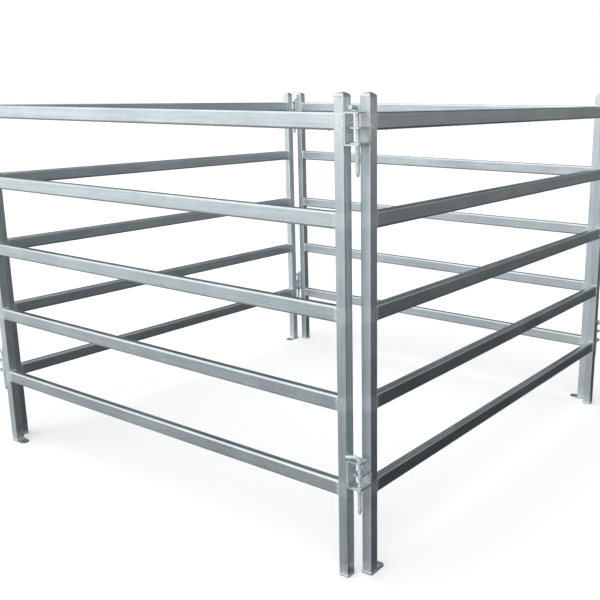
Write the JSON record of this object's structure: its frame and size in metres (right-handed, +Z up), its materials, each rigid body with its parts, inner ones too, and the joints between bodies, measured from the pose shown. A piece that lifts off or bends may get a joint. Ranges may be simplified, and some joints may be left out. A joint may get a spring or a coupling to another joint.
{
  "type": "livestock panel gate pen",
  "caption": "Square stock pen of pinned five-rail steel panels, hinged at the corners by bent drop pins through U-shaped lugs.",
  "frame": {"origin": "centre of the pen on the ground, under the posts", "axes": "+Z up, +X along the front right panel away from the front corner, +Y along the front left panel away from the front corner"},
  "size_m": [2.275, 2.275, 1.68],
  "materials": {
    "post": "hot-dip galvanised, dull satin with spangle",
    "rail": "hot-dip galvanised, dull satin with spangle",
    "lug": "hot-dip galvanised after bending, bright",
    "plate": "hot-dip galvanised, dull",
    "cap": "galvanised pressing, dull satin",
    "pin": "zinc plated round bar, bright"
  },
  "bodies": {
    "front_right": {"front_right_foot_post": "post", "front_right_pin_post": "post", "front_right_rail_1": "rail", "front_right_rail_2": "rail", "front_right_rail_3": "rail", "front_right_rail_4": "rail", "front_right_rail_5": "rail", "front_right_long_lugs": "lug", "front_right_short_lugs": "lug", "front_right_foot_plate": "plate", "front_right_base_plate": "plate", "front_right_caps": "cap"},
    "back_right": {"back_right_foot_post": "post", "back_right_pin_post": "post", "back_right_rail_1": "rail", "back_right_rail_2": "rail", "back_right_rail_3": "rail", "back_right_rail_4": "rail", "back_right_rail_5": "rail", "back_right_long_lugs": "lug", "back_right_short_lugs": "lug", "back_right_foot_plate": "plate", "back_right_base_plate": "plate", "back_right_caps": "cap"},
    "back_left": {"back_left_foot_post": "post", "back_left_pin_post": "post", "back_left_rail_1": "rail", "back_left_rail_2": "rail", "back_left_rail_3": "rail", "back_left_rail_4": "rail", "back_left_rail_5": "rail", "back_left_long_lugs": "lug", "back_left_short_lugs": "lug", "back_left_foot_plate": "plate", "back_left_base_plate": "plate", "back_left_caps": "cap"},
    "front_left": {"front_left_foot_post": "post", "front_left_pin_post": "post", "front_left_rail_1": "rail", "front_left_rail_2": "rail", "front_left_rail_3": "rail", "front_left_rail_4": "rail", "front_left_rail_5": "rail", "front_left_long_lugs": "lug", "front_left_short_lugs": "lug", "front_left_foot_plate": "plate", "front_left_base_plate": "plate", "front_left_caps": "cap"},
    "front_lower_pin": {"front_lower_pin": "pin"},
    "front_upper_pin": {"front_upper_pin": "pin"},
    "right_lower_pin": {"right_lower_pin": "pin"},
    "right_upper_pin": {"right_upper_pin": "pin"},
    "back_lower_pin": {"back_lower_pin": "pin"},
    "back_upper_pin": {"back_upper_pin": "pin"},
    "left_lower_pin": {"left_lower_pin": "pin"},
    "left_upper_pin": {"left_upper_pin": "pin"}
  },
  "joints": [
    {"name": "front_corner", "type": "hinge", "parent": "front_right", "child": "front_left", "pos_m": [-1.089, -1.089, 0], "axis": [0, 0, 1], "range_deg": [-25, 25]},
    {"name": "right_corner", "type": "hinge", "parent": "front_right", "child": "back_right", "pos_m": [1.089, -1.089, 0], "axis": [0, 0, 1], "range_deg": [-25, 25]},
    {"name": "back_corner", "type": "hinge", "parent": "back_right", "child": "back_left", "pos_m": [1.089, 1.089, 0], "axis": [0, 0, 1], "range_deg": [-25, 25]},
    {"name": "front_lower_pin_lift", "type": "slide", "parent": "front_left", "child": "front_lower_pin", "axis": [0, 0, 1], "range_m": [0, 0.24]},
    {"name": "front_upper_pin_lift", "type": "slide", "parent": "front_left", "child": "front_upper_pin", "axis": [0, 0, 1], "range_m": [0, 0.24]},
    {"name": "right_lower_pin_lift", "type": "slide", "parent": "front_right", "child": "right_lower_pin", "axis": [0, 0, 1], "range_m": [0, 0.24]},
    {"name": "right_upper_pin_lift", "type": "slide", "parent": "front_right", "child": "right_upper_pin", "axis": [0, 0, 1], "range_m": [0, 0.24]},
    {"name": "back_lower_pin_lift", "type": "slide", "parent": "back_right", "child": "back_lower_pin", "axis": [0, 0, 1], "range_m": [0, 0.24]},
    {"name": "back_upper_pin_lift", "type": "slide", "parent": "back_right", "child": "back_upper_pin", "axis": [0, 0, 1], "range_m": [0, 0.24]},
    {"name": "left_lower_pin_lift", "type": "slide", "parent": "back_left", "child": "left_lower_pin", "axis": [0, 0, 1], "range_m": [0, 0.24]},
    {"name": "left_upper_pin_lift", "type": "slide", "parent": "back_left", "child": "left_upper_pin", "axis": [0, 0, 1], "range_m": [0, 0.24]}
  ],
  "couplings": [
    {"joint": "right_corner", "follows": "front_corner", "ratio": 1},
    {"joint": "back_corner", "follows": "front_corner", "ratio": -1}
  ]
}
